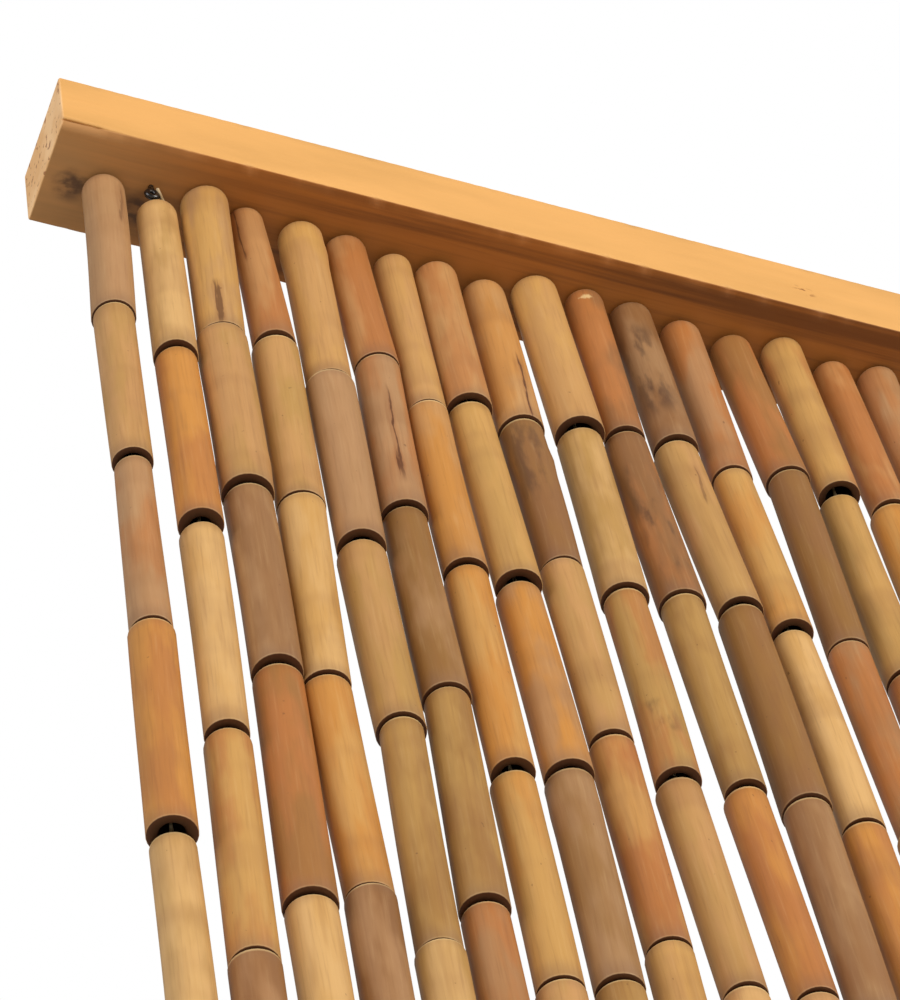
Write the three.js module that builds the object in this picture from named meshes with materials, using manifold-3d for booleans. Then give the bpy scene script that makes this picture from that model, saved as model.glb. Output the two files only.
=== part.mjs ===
// Bamboo door curtain: strands of bamboo tubes that hang from a wooden header bar.
// Millimetres, +Z up. The origin is the middle of the bar's top face, the face that
// meets the door lining. The front of the curtain looks along -Y, and +X is to the right.

import * as THREE from 'three';
import { mergeVertices } from 'three/addons/utils/BufferGeometryUtils.js';
import Module from 'manifold-3d';

// Driving dimensions of the header bar
const CURTAIN_WIDTH = 900;
const BAR_HEIGHT = 18;
const BAR_DEPTH = 24.5;
const BAR_EDGE_RADIUS = 1.1;
const BAR_END_WEAR = 0.9;
const BAR_CORNER_STEPS = 2;

// Driving dimensions of the strands
const CURTAIN_DROP = 2000;
const STRAND_COUNT = 81;
const END_MARGIN = 12;
const STRAND_PLANE_Y = 0.6;
const STRAND_SIDE = 8.3;
const BOTTOM_UNEVENNESS = 5;

// The strip that stands for the row of wire eyes under the bar
const SEAT_GAP = 0.3;
const STRIP_THICKNESS = 1.2;
const STRIP_DEPTH = 4;
const ROOT_INSET = 0.5;

// How the strands sway: a slow wave that neighbours share, and a little of their own
const WAVE_SWAY = 1.9;
const WAVE_STRANDS = 14;
const WAVE_DROP = 900;
const OWN_SWAY = 0.6;
const DEPTH_SWAY = 0.9;
const SWAY_LEFT_AT_BAR = 0.4;

// Fractions added to a strand's number, so that each use of scatter has its own values
const SIDE_SEED = 0;
const BOTTOM_SEED = 0.25;
const DEPTH_SEED = 0.5;

// Depths below the bar of the first four joints between tubes, then even steps
const JOINT_DEPTHS = [0, 56, 113, 170, 226];
const EVEN_STEPS = 8;

// How far the first strands hang from their even places: towards the back at the bar, and
// sideways at the bar and at the first four joints below it
const FIRST_STRANDS = [
  { back: 0.4, bar: 0.2, joint1: -0.8, joint2: 0.2, joint3: -0.1, joint4: -0.9 },
  { back: 0.6, bar: 1.4, joint1: 0.5, joint2: 1.2, joint3: 1.2, joint4: -0.2 },
  { back: -2.0, bar: -0.2, joint1: -0.2, joint2: 0.5, joint3: 0.5, joint4: -0.5 },
  { back: -0.5, bar: -1.5, joint1: 0.2, joint2: -0.8, joint3: -0.7, joint4: 0.3 },
  { back: 0.0, bar: -0.1, joint1: 0.3, joint2: -0.2, joint3: 0.5, joint4: 0.0 },
  { back: 0.5, bar: -1.5, joint1: -0.5, joint2: -1.2, joint3: -0.2, joint4: -1.7 },
  { back: 1.4, bar: -2.2, joint1: -2.0, joint2: -1.7, joint3: -1.5, joint4: -1.3 },
  { back: 1.4, bar: -3.2, joint1: -3.1, joint2: -2.0, joint3: -1.7, joint4: -1.7 },
  { back: 2.7, bar: -3.2, joint1: -3.8, joint2: -2.5, joint3: -2.1, joint4: -1.3 },
  { back: -0.5, bar: -2.7, joint1: -1.9, joint2: -1.0, joint3: -1.2, joint4: -0.6 },
  { back: -1.0, bar: -2.6, joint1: -2.1, joint2: -0.6, joint3: 0.7, joint4: 1.4 },
  { back: -0.2, bar: -2.2, joint1: -1.8, joint2: 1.6, joint3: 2.2, joint4: 2.6 },
  { back: 0.7, bar: -2.3, joint1: -1.4, joint2: 0.7, joint3: 1.6, joint4: 2.1 },
  { back: 1.0, bar: -1.7, joint1: 0.6, joint2: 1.1, joint3: 1.9, joint4: 2.4 },
  { back: -0.9, bar: -1.0, joint1: 1.3, joint2: 1.3, joint3: 1.3, joint4: 1.3 },
  { back: 1.0, bar: -0.4, joint1: 0.9, joint2: 1.4, joint3: 1.4, joint4: 0.9 },
  { back: 0.0, bar: -0.6, joint1: 0.4, joint2: 0.9, joint3: 0.9, joint4: 0.4 },
];

const STRAND_PITCH = (CURTAIN_WIDTH - 2 * END_MARGIN) / (STRAND_COUNT - 1);
const UNDERSIDE_Z = -BAR_HEIGHT;
const STRIP_TOP_Z = UNDERSIDE_Z - SEAT_GAP;
const STRAND_LENGTH = CURTAIN_DROP - BAR_HEIGHT;
const LEVEL_DEPTHS = levelDepths();

const wasm = await Module();
wasm.setup();

const honeyWood = new THREE.MeshStandardMaterial({ color: 0xe8ad5c, roughness: 0.55, metalness: 0 });
const driedBamboo = new THREE.MeshStandardMaterial({ color: 0xb98a4e, roughness: 0.45, metalness: 0 });

// Depths of the rings of corners down a strand, the joints first and then even steps
function levelDepths() {
  const lastJoint = JOINT_DEPTHS[JOINT_DEPTHS.length - 1];
  const step = (STRAND_LENGTH - lastJoint) / EVEN_STEPS;
  const rest = Array.from({ length: EVEN_STEPS }, (_, k) => lastJoint + step * (k + 1));
  return [...JOINT_DEPTHS, ...rest];
}

// A number from 0 to 1 that looks random but is the same for the same pair of numbers:
// the fraction of a steep sine wave
function scatter(a, b) {
  const wave = Math.sin(a * 12.9898 + b * 78.233) * 43758.5453;
  return wave - Math.floor(wave);
}

// Sideways shift of a strand at one level: the shared wave and its own wander, or the
// first strands' row where there is one
function sideShift(strand, level) {
  const row = FIRST_STRANDS[strand];
  if (row && level < JOINT_DEPTHS.length) {
    return [row.bar, row.joint1, row.joint2, row.joint3, row.joint4][level];
  }
  const turn = (2 * Math.PI * strand) / WAVE_STRANDS + LEVEL_DEPTHS[level] / WAVE_DROP;
  const freedom = level === 0 ? SWAY_LEFT_AT_BAR : 1;
  const own = OWN_SWAY * (2 * scatter(strand + SIDE_SEED, level) - 1);
  return freedom * WAVE_SWAY * Math.sin(turn) + own;
}

// Shift of a strand towards the front or the back at one level
function depthShift(strand, level) {
  if (level === 0 && FIRST_STRANDS[strand]) {
    return FIRST_STRANDS[strand].back;
  }
  const freedom = level === 0 ? SWAY_LEFT_AT_BAR : 1;
  return freedom * DEPTH_SWAY * (2 * scatter(strand + DEPTH_SEED, level) - 1);
}

// The four-sided solid of one strand, a box with a ring of corners at each level
function strandGeometry(strand) {
  const levels = LEVEL_DEPTHS.length - 1;
  const geometry = new THREE.BoxGeometry(STRAND_SIDE, STRAND_SIDE, 1, 1, 1, levels);
  const corners = geometry.attributes.position;
  const homeX = -CURTAIN_WIDTH / 2 + END_MARGIN + strand * STRAND_PITCH;
  const bottomRise = BOTTOM_UNEVENNESS * scatter(strand + BOTTOM_SEED, levels);
  for (let i = 0; i < corners.count; i += 1) {
    const level = Math.round((0.5 - corners.getZ(i)) * levels);
    const rise = level === levels ? bottomRise : 0;
    const inset = level === 0 ? ROOT_INSET + SEAT_GAP : 0;
    corners.setXYZ(
      i,
      homeX + sideShift(strand, level) + corners.getX(i),
      STRAND_PLANE_Y + depthShift(strand, level) + corners.getY(i),
      UNDERSIDE_Z - inset - LEVEL_DEPTHS[level] + rise,
    );
  }
  return geometry;
}

// The strip under the bar that all the strands grow from
function stripGeometry() {
  const length = (STRAND_COUNT - 1) * STRAND_PITCH + STRAND_SIDE / 2;
  const strip = new THREE.BoxGeometry(length, STRIP_DEPTH, STRIP_THICKNESS);
  strip.translate(0, STRAND_PLANE_Y, STRIP_TOP_Z - STRIP_THICKNESS / 2);
  return strip;
}

// A closed three.js geometry as a solid that can be joined or cut
function toSolid(geometry) {
  const bare = geometry.clone();
  bare.deleteAttribute('normal');
  bare.deleteAttribute('uv');
  const merged = mergeVertices(bare, 1e-4);
  return new wasm.Manifold(new wasm.Mesh({
    numProp: 3,
    vertProperties: new Float32Array(merged.attributes.position.array),
    triVerts: new Uint32Array(merged.index.array),
  }));
}

// A solid as a three.js geometry with flat normals
function toGeometry(solid) {
  const mesh = solid.getMesh();
  const indexed = new THREE.BufferGeometry();
  indexed.setAttribute('position', new THREE.BufferAttribute(mesh.vertProperties, 3));
  indexed.setIndex(new THREE.BufferAttribute(mesh.triVerts, 1));
  const geometry = indexed.toNonIndexed();
  geometry.computeVertexNormals();
  return geometry;
}

// Outline of the bar across its length, with softly worn long edges
function barOutline() {
  const halfDepth = BAR_DEPTH / 2 - BAR_END_WEAR;
  const halfHeight = BAR_HEIGHT / 2 - BAR_END_WEAR;
  const r = BAR_EDGE_RADIUS;
  const outline = new THREE.Shape();
  outline.moveTo(-halfDepth + r, -halfHeight);
  outline.lineTo(halfDepth - r, -halfHeight);
  outline.absarc(halfDepth - r, -halfHeight + r, r, -Math.PI / 2, 0);
  outline.lineTo(halfDepth, halfHeight - r);
  outline.absarc(halfDepth - r, halfHeight - r, r, 0, Math.PI / 2);
  outline.lineTo(-halfDepth + r, halfHeight);
  outline.absarc(-halfDepth + r, halfHeight - r, r, Math.PI / 2, Math.PI);
  outline.lineTo(-halfDepth, -halfHeight + r);
  outline.absarc(-halfDepth + r, -halfHeight + r, r, Math.PI, (3 * Math.PI) / 2);
  return outline;
}

// The header bar, run along X with its ends worn round
function headerBar() {
  const geometry = new THREE.ExtrudeGeometry(barOutline(), {
    depth: CURTAIN_WIDTH - 2 * BAR_END_WEAR,
    steps: 1,
    curveSegments: BAR_CORNER_STEPS,
    bevelEnabled: true,
    bevelThickness: BAR_END_WEAR,
    bevelSize: BAR_END_WEAR,
    bevelSegments: BAR_CORNER_STEPS,
  });
  geometry.translate(0, 0, BAR_END_WEAR - CURTAIN_WIDTH / 2);
  geometry.applyMatrix4(new THREE.Matrix4().makeBasis(
    new THREE.Vector3(0, 1, 0),
    new THREE.Vector3(0, 0, 1),
    new THREE.Vector3(1, 0, 0),
  ));
  const bar = new THREE.Mesh(geometry, honeyWood);
  bar.name = 'header_bar';
  bar.position.set(0, 0, -BAR_HEIGHT / 2);
  return bar;
}

// All the strands and the strip at their roots, fused into one body
function bambooStrands() {
  let curtain = toSolid(stripGeometry());
  for (let strand = 0; strand < STRAND_COUNT; strand += 1) {
    curtain = curtain.add(toSolid(strandGeometry(strand)));
  }
  const strands = new THREE.Mesh(toGeometry(curtain), driedBamboo);
  strands.name = 'bamboo_strands';
  return strands;
}

const doorCurtain = new THREE.Group();
doorCurtain.add(headerBar());
doorCurtain.add(bambooStrands());

export default doorCurtain;
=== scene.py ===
"""Bamboo door curtain: strands of bamboo tubes under a varnished wooden header bar.

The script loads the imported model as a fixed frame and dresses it. Lengths are in metres,
in the frame of the model: the origin is the middle of the bar's top face, +Z is up, the
front looks along -Y and +X is to the right. Sizes that are said to be in millimetres are
turned into metres by the constant MM.
"""

import logging
import math
from dataclasses import dataclass, field
from enum import Enum

import bpy
import numpy as np
from mathutils import Matrix, Vector


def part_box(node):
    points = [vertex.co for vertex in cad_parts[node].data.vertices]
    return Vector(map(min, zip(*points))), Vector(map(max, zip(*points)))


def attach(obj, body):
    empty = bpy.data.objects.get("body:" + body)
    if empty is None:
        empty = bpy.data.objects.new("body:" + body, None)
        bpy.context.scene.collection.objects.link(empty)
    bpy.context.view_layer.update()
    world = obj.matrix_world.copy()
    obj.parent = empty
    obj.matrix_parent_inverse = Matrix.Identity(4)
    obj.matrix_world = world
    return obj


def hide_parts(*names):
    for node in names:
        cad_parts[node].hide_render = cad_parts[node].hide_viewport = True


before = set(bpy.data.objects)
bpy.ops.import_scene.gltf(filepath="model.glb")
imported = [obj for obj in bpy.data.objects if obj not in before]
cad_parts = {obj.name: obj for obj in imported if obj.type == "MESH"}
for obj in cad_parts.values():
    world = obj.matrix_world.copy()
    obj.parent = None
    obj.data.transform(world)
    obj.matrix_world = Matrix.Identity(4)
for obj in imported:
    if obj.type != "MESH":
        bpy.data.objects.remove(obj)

MM = 0.001
FULL_TURN = 2 * math.pi
NOISE_ROUGHNESS = 0.55
BODY = "root"
Socket = bpy.types.NodeSocket
Number = float | Socket
Colour = str | tuple | Socket
log = logging.getLogger("bamboo_curtain")


class Tone(Enum):
    """Skin colours of dried bamboo, from pale straw to smoked brown: letter and sRGB hex."""

    STRAW = ("S", "C9A067")
    HONEY = ("H", "BF9252")
    AMBER = ("A", "BD823D")
    TAN = ("T", "B98B57")
    CLAY = ("C", "AB8259")
    RUST = ("R", "AA6D3A")
    OLIVE = ("O", "AC854A")
    MOSS = ("M", "8B6333")
    TAUPE = ("P", "A07A52")
    UMBER = ("U", "865D37")


class Mark(Enum):
    """What weather and handling left on a tube, as the channel that carries it."""

    CRACK = 0
    STAIN = 1
    SCRAPE = 2


class Draw(Enum):
    """The random draws, by what they decide, as their seeds."""

    PLACES = 21
    TONES = 22
    MARKS = 23
    FORMS = 24
    GIRTHS = 25
    TAPERS = 26

    def start(self) -> np.random.Generator:
        """Starts the draw afresh."""
        return np.random.default_rng(self.value)


@dataclass(frozen=True)
class Blemish:
    """One mark on a tube.

    Attributes:
        mark: its kind.
        strength: from 0 to 1.
        angle: where it lies round the tube, in degrees from +X; -90 is the front.
        middle: its middle as a share of the tube's length, from the top.
        reach: half its length, in mm.
    """

    mark: Mark
    strength: float
    angle: float
    middle: float
    reach: float


@dataclass(frozen=True)
class HangingStrand:
    """How one of the first strands hangs.

    Attributes:
        slack: free cord above its first tube, in mm.
        back: how far its first tube stands back at the bar, in mm.
        cuts: lengths of its first four tubes, from joint to joint, in mm.
        steps: how far the lower tube stands behind the upper one at each joint, in mm.
        shifts: sideways shift at the bar and at the first four joints, in mm.
        girths: thickness of its first five tubes against the usual one.
        tones: letters of the main and the second Tone of each of its first five tubes.
        eye: place of its wire eye from the strand's home, sideways and back, in mm.
        mouth: where its cord enters the first tube, sideways and back from its middle, in mm.
    """

    slack: float
    back: float
    cuts: tuple
    steps: tuple
    shifts: tuple
    girths: tuple
    tones: str
    eye: tuple = (0.0, 0.0)
    mouth: tuple = (0.0, 0.0)


FIRST_STRANDS = (
    HangingStrand(
        slack=1.0, back=0.4, cuts=(51.5, 52.5, 53, 58), steps=(0.0, 1.3, 0.6, 2.8),
        shifts=(0.5, -0.5, 0.1, -0.1, -0.6), girths=(1.02, 0.92, 0.86, 0.99, 0.93),
        tones="CP TO CR AR SO",
    ),
    HangingStrand(
        slack=5.5, back=0.6, cuts=(57.5, 59, 63, 59), steps=(1.0, 2.6, 1.9, 0.2),
        shifts=(0.7, 0.4, 0.9, 0.7, -0.1), girths=(1.0, 0.98, 0.94, 1.0, 1.0),
        tones="SO AR SH HR UC", eye=(-1.1, -2.6), mouth=(1.5, -2.2),
    ),
    HangingStrand(
        slack=0.6, back=-2.0, cuts=(51.5, 55, 56, 63.5), steps=(0.5, 1.4, 1.6, 1.0),
        shifts=(-0.5, -0.4, 0.2, 0.6, 0.1), girths=(1.13, 1.2, 1.08, 1.06, 1.0),
        tones="HC TO PU RM SH",
    ),
    HangingStrand(
        slack=0.6, back=-0.5, cuts=(49.5, 56.5, 57, 57.5), steps=(1.3, 0.1, 0.9, 0.1),
        shifts=(-2.3, 0.1, -0.4, -1.6, 0.1), girths=(0.94, 1.08, 1.03, 1.01, 1.0),
        tones="RT OT HS AH UC",
    ),
    HangingStrand(
        slack=1.0, back=0.0, cuts=(58.5, 57.5, 54.5, 60.5), steps=(0.5, 2.2, 0.1, 0.1),
        shifts=(-1.0, -0.6, -0.7, 0.5, -0.3), girths=(1.06, 1.13, 1.1, 0.93, 1.0),
        tones="HT CP OT OM OS",
    ),
    HangingStrand(
        slack=1.2, back=0.5, cuts=(47, 54, 57, 59.5), steps=(0.2, 1.2, 0.3, 1.3),
        shifts=(-2.1, -0.1, -1.6, -0.1, -1.8), girths=(1.06, 1.06, 1.04, 1.0, 1.0),
        tones="RT CR MP OM RP",
    ),
    HangingStrand(
        slack=1.8, back=1.4, cuts=(59.5, 56, 61.5, 57), steps=(0.2, 1.3, 2.4, 0.8),
        shifts=(-2.3, -2.5, -2.0, -1.7, -1.9), girths=(0.95, 1.0, 0.98, 0.95, 1.0),
        tones="TH AT AH HA TO",
    ),
    HangingStrand(
        slack=1.7, back=1.4, cuts=(55.5, 61, 57.5, 57), steps=(1.5, 2.4, 1.7, 0.9),
        shifts=(-3.6, -4.0, -2.7, -1.6, -1.9), girths=(1.12, 1.04, 1.05, 1.03, 1.0),
        tones="TR HO AC PM OM",
    ),
    HangingStrand(
        slack=2.0, back=2.7, cuts=(58, 48, 54.5, 57), steps=(0.5, 0.2, 1.3, 0.6),
        shifts=(-3.5, -4.4, -3.2, -2.2, -1.6), girths=(1.12, 1.01, 0.98, 0.98, 1.0),
        tones="TA UM TO RH HT",
    ),
    HangingStrand(
        slack=0.6, back=-0.5, cuts=(56, 56.5, 57.5, 57), steps=(2.0, 0.8, 2.2, 1.0),
        shifts=(-3.9, -2.2, -2.2, -1.9, -0.3), girths=(1.17, 1.08, 0.98, 0.96, 1.0),
        tones="HT OS OR TO TS",
    ),
    HangingStrand(
        slack=0.6, back=-1.0, cuts=(53.5, 56.5, 58.5, 56), steps=(1.3, 0.3, 1.8, 0.9),
        shifts=(-3.6, -2.9, -0.8, 0.5, 2.3), girths=(0.97, 1.06, 0.94, 0.94, 1.0),
        tones="RU UR OM RA TC",
    ),
    HangingStrand(
        slack=0.6, back=-0.2, cuts=(52.5, 56, 60.5, 57), steps=(1.2, 1.8, 0.3, 0.9),
        shifts=(-3.8, -2.5, 0.8, 1.5, 2.1), girths=(1.08, 1.05, 1.08, 1.01, 1.0),
        tones="UP TO MU PU TA",
    ),
    HangingStrand(
        slack=1.2, back=0.7, cuts=(57.5, 54, 60, 57), steps=(0.0, 2.0, 0.9, 0.6),
        shifts=(-3.0, -2.3, -0.4, 1.0, 2.1), girths=(1.03, 0.95, 0.93, 1.0, 1.0),
        tones="RC HA SH AR HT",
    ),
    HangingStrand(
        slack=1.5, back=1.0, cuts=(52.5, 59.5, 56.5, 57), steps=(0.1, 0.3, 0.6, 0.8),
        shifts=(-2.1, 0.3, 0.3, 1.9, 2.4), girths=(1.07, 0.97, 0.94, 1.0, 1.0),
        tones="RM MU RP HA OT",
    ),
    HangingStrand(
        slack=0.6, back=-0.9, cuts=(56.5, 62.5, 56, 57), steps=(2.9, 0.6, 0.9, 1.0),
        shifts=(-1.7, -0.1, 0.8, 1.3, 1.3), girths=(1.05, 1.03, 1.0, 1.0, 1.0),
        tones="HR OH RA AT TC",
    ),
    HangingStrand(
        slack=1.5, back=1.0, cuts=(56, 58, 57, 55), steps=(1.3, 0.5, 0.9, 0.4),
        shifts=(-0.4, 0.6, 1.4, 1.4, 0.9), girths=(0.98, 1.04, 1.0, 1.0, 1.0),
        tones="RT AH TC OM HS",
    ),
    HangingStrand(
        slack=0.6, back=0.0, cuts=(55, 58, 55, 57), steps=(0.6, 0.4, 1.0, 0.5),
        shifts=(-0.6, 0.4, 0.9, 0.9, 0.4), girths=(1.0, 1.0, 1.0, 1.0, 1.0),
        tones="CR HT OM TC RA",
    ),
)

BLEMISHES = {
    (0, 0): Blemish(Mark.CRACK, 0.5, -64, 0.22, 9),
    (2, 0): Blemish(Mark.CRACK, 0.8, -112, 0.86, 9),
    (3, 0): Blemish(Mark.CRACK, 0.9, -142, 0.2, 12),
    (5, 1): Blemish(Mark.CRACK, 1.0, -98, 0.55, 19),
    (8, 0): Blemish(Mark.CRACK, 1.0, -78, 0.8, 16),
    (8, 1): Blemish(Mark.STAIN, 0.7, -120, 0.3, 16),
    (10, 0): Blemish(Mark.SCRAPE, 0.9, -112, 0.07, 1.6),
    (10, 1): Blemish(Mark.STAIN, 1.0, -110, 0.55, 22),
    (11, 0): Blemish(Mark.STAIN, 0.9, -125, 0.5, 20),
    (11, 1): Blemish(Mark.CRACK, 0.5, -95, 0.3, 8),
    (9, 2): Blemish(Mark.STAIN, 0.6, -125, 0.72, 6),
}

TAPERS = {(3, 0): 0.3, (0, 2): 0.2, (14, 1): 0.2}

FIRST = slice(len(FIRST_STRANDS))
KNOWN_JOINTS = 4
KNOWN_TUBES = 5


def known(name: str) -> np.ndarray:
    """One field of all the first strands, a row for each strand."""
    return np.array([getattr(strand, name) for strand in FIRST_STRANDS])


def linear(hex_code: str) -> tuple:
    """Turns an sRGB hex value into a linear colour.

    Args:
        hex_code: six hex digits.

    Returns:
        Red, green, blue and an alpha of one.
    """
    channels = [int(hex_code[i : i + 2], 16) / 255 for i in (0, 2, 4)]
    curve = [c / 12.92 if c <= 0.04045 else ((c + 0.055) / 1.055) ** 2.4 for c in channels]
    return (*curve, 1.0)


def scatter(a: np.ndarray, b: np.ndarray) -> np.ndarray:
    """Numbers from 0 to 1 that look random: the fraction of a steep sine wave.

    Args:
        a: first number of each pair.
        b: second number of each pair.

    Returns:
        One number for each pair, the same on every run.
    """
    wave = np.sin(a * 12.9898 + b * 78.233) * 43758.5453
    return wave - np.floor(wave)


def circle(count: int) -> np.ndarray:
    """Angles of evenly spaced points round a circle."""
    return np.arange(count) * FULL_TURN / count


def grid_faces(rows: int, columns: int, closed: bool) -> np.ndarray:
    """Four-sided faces of a grid whose columns go round.

    Args:
        rows: rings of the grid.
        columns: points of a ring.
        closed: whether the last ring joins the first.

    Returns:
        One row of four point numbers for each face.
    """
    row = np.arange(rows if closed else rows - 1)[:, None]
    column = np.arange(columns)[None, :]
    below = (row + 1) % rows
    beside = (column + 1) % columns
    corners = (row * columns + column, below * columns + column)
    opposite = (below * columns + beside, row * columns + beside)
    return np.stack([*corners, *opposite], -1).reshape(-1, 4)


def build_mesh(name: str, points: np.ndarray, *faces: np.ndarray) -> bpy.types.Object:
    """Makes a smooth mesh object at the origin from whole arrays.

    Args:
        name: name of the piece.
        points: place of each point, in metres.
        faces: arrays of point numbers, a row for each face.

    Returns:
        The object, linked to the scene.
    """
    mesh = bpy.data.meshes.new(name)
    corners = np.concatenate([part.ravel() for part in faces]).astype(np.int32)
    sizes = np.concatenate([np.full(len(part), part.shape[1]) for part in faces])
    starts = np.concatenate([[0], np.cumsum(sizes)[:-1]]).astype(np.int32)
    mesh.vertices.add(len(points))
    mesh.vertices.foreach_set("co", points.astype(np.float32).ravel())
    mesh.loops.add(len(corners))
    mesh.loops.foreach_set("vertex_index", corners)
    mesh.polygons.add(len(sizes))
    mesh.polygons.foreach_set("loop_start", starts)
    mesh.polygons.foreach_set("use_smooth", np.ones(len(sizes), bool))
    mesh.update(calc_edges=True)
    piece = bpy.data.objects.new(name, mesh)
    bpy.context.scene.collection.objects.link(piece)
    return piece


def set_attribute(piece: bpy.types.Object, name: str, kind: str, values: np.ndarray) -> None:
    """Stores one value for each point of a piece.

    Args:
        piece: the object.
        name: name that the material reads.
        kind: FLOAT, FLOAT_VECTOR or FLOAT_COLOR.
        values: the values, a row for each point.
    """
    key = {"FLOAT": "value", "FLOAT_VECTOR": "vector", "FLOAT_COLOR": "color"}[kind]
    attribute = piece.data.attributes.new(name, kind, "POINT")
    attribute.data.foreach_set(key, values.astype(np.float32).ravel())


def dress(piece: bpy.types.Object, material: bpy.types.Material, node: str) -> None:
    """Gives a piece its material and its place in the frame.

    Args:
        piece: the object.
        material: its finish.
        node: the solid that it replaces.
    """
    piece.data.materials.append(material)
    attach(piece, BODY)
    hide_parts(node)


def swept_tubes(rings: np.ndarray) -> tuple:
    """Closed bodies carried along paths, with a point in the middle of each end.

    The points of a body are its rings in order, and then the means of the first and of the
    last ring, from which fans of triangles close the ends.

    Args:
        rings: bodies, rings, points of a ring and three coordinates, each ring
            anticlockwise as seen by someone whom the path walks towards.

    Returns:
        Points, four-sided faces and three-sided faces.
    """
    bodies, rows, columns, _ = rings.shape
    body_points = rows * columns + 2
    ends = np.stack([rings[:, 0].mean(1), rings[:, -1].mean(1)], 1)
    points = np.concatenate([rings.reshape(bodies, -1, 3), ends], 1).reshape(-1, 3)
    around = np.arange(columns)
    beside = (around + 1) % columns
    last = (rows - 1) * columns
    first_fan = np.stack([np.full(columns, rows * columns), around, beside], -1)
    last_fan = np.stack([np.full(columns, rows * columns + 1), last + beside, last + around], -1)
    start = (np.arange(bodies) * body_points)[:, None, None]
    quads = (grid_faces(rows, columns, False)[None] + start).reshape(-1, 4)
    triangles = (np.concatenate([first_fan, last_fan])[None] + start).reshape(-1, 3)
    return points, quads, triangles


def add_node(tree: bpy.types.NodeTree, kind: str, settings: dict) -> bpy.types.Node:
    """Adds a node and sets it.

    Args:
        tree: the node tree.
        kind: the node's type name.
        settings: values by the names of properties, or by the names or numbers of inputs;
            a socket is linked to its input.

    Returns:
        The node.
    """
    node = tree.nodes.new(kind)
    for key, value in settings.items():
        if isinstance(value, Socket):
            tree.links.new(value, node.inputs[key])
        elif isinstance(key, str) and hasattr(node, key):
            setattr(node, key, value)
        else:
            node.inputs[key].default_value = value
    return node


class Paint:
    """A new material, the colour that it has so far, and short names for its nodes.

    Numbers and shares may be given as sockets, and colours as sRGB hex values or sockets.
    """

    def __init__(self, name: str, place: str = "") -> None:
        """Makes the material, still without a colour.

        Args:
            name: name of the material.
            place: the vector attribute that its patterns follow, or nothing for Object
                coordinates.
        """
        self.material = bpy.data.materials.new(name)
        self.material.use_nodes = True
        self.material.node_tree.nodes.clear()
        self.colour = None
        if place:
            self.place = self.attribute(place)
        else:
            self.place = self.node("ShaderNodeTexCoord", {}).outputs["Object"]

    def node(self, kind: str, settings: dict) -> bpy.types.Node:
        """Adds a node to the material."""
        return add_node(self.material.node_tree, kind, settings)

    def attribute(self, name: str, output: str = "Vector") -> Socket:
        """Reads an attribute of the mesh."""
        return self.node("ShaderNodeAttribute", {"attribute_name": name}).outputs[output]

    def split(self, vector: Socket) -> list:
        """Splits a vector into its three numbers."""
        return list(self.node("ShaderNodeSeparateXYZ", {0: vector}).outputs)

    def maths(self, operation: str, first: Number, second: Number = 0.0) -> Socket:
        """Works out one number from two."""
        settings = {"operation": operation, 0: first, 1: second}
        return self.node("ShaderNodeMath", settings).outputs[0]

    def times(self, first: Number, second: Number) -> Socket:
        """Multiplies two numbers."""
        return self.maths("MULTIPLY", first, second)

    def ramp(self, value: Socket, low: float, high: float, *results: float) -> Socket:
        """Turns a value into a smooth step between two limits.

        Args:
            value: what the step reads.
            low: value where the step starts.
            high: value where it ends.
            results: what comes out at the start and at the end, or nothing for 0 and 1.

        Returns:
            The result.
        """
        to_low, to_high = results or (0.0, 1.0)
        settings = {0: value, 1: low, 2: high, 3: to_low, 4: to_high}
        settings["interpolation_type"] = "SMOOTHSTEP"
        return self.node("ShaderNodeMapRange", settings).outputs[0]

    def blend(self, share: Number, first: Colour, second: Colour) -> Socket:
        """Blends two colours.

        Args:
            share: from 0, the first, to 1, the second.
            first: one colour.
            second: the other.

        Returns:
            The blended colour.
        """
        first, second = (linear(c) if isinstance(c, str) else c for c in (first, second))
        settings = {"data_type": "RGBA", 0: share, 6: first, 7: second}
        return self.node("ShaderNodeMix", settings).outputs[2]

    def coat(self, share: Number, colour: Colour) -> None:
        """Lays a colour over the colour so far, as densely as the share says."""
        self.colour = self.blend(share, self.colour, colour)

    def noise(self, stretch: tuple, size_mm: float, detail: float = 3.0) -> Socket:
        """Noise stretched along one direction.

        Args:
            stretch: how much each axis is squeezed before the noise reads it.
            size_mm: size of a feature across the grain.
            detail: octaves.

        Returns:
            A number from 0 to 1.
        """
        place = self.node("ShaderNodeMapping", {"Vector": self.place, "Scale": stretch})
        settings = {"Vector": place.outputs[0], "Scale": 1 / (size_mm * MM)}
        settings |= {"Detail": detail, "Roughness": NOISE_ROUGHNESS}
        return self.node("ShaderNodeTexNoise", settings).outputs["Fac"]

    def finish(
        self, roughness: Number, sheen_level: float, relief: Socket = None,
        strength: float = 0.0, depth_mm: float = 0.0,
    ) -> bpy.types.Material:
        """Adds the shader with the colour so far, and the output.

        Args:
            roughness: from 0, a mirror, to 1.
            sheen_level: strength of the mirror-like light, 0.5 for plain varnish.
            relief: height of a fine relief from 0 to 1, or nothing for a smooth skin.
            strength: share of the relief that shows.
            depth_mm: its depth.

        Returns:
            The material.
        """
        settings = {"Base Color": self.colour, "Roughness": roughness}
        settings["Specular IOR Level"] = sheen_level
        if relief is not None:
            heights = {"Strength": strength, "Distance": depth_mm * MM, "Height": relief}
            settings["Normal"] = self.node("ShaderNodeBump", heights).outputs[0]
        shader = self.node("ShaderNodeBsdfPrincipled", settings)
        self.node("ShaderNodeOutputMaterial", {"Surface": shader.outputs[0]})
        return self.material


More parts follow.
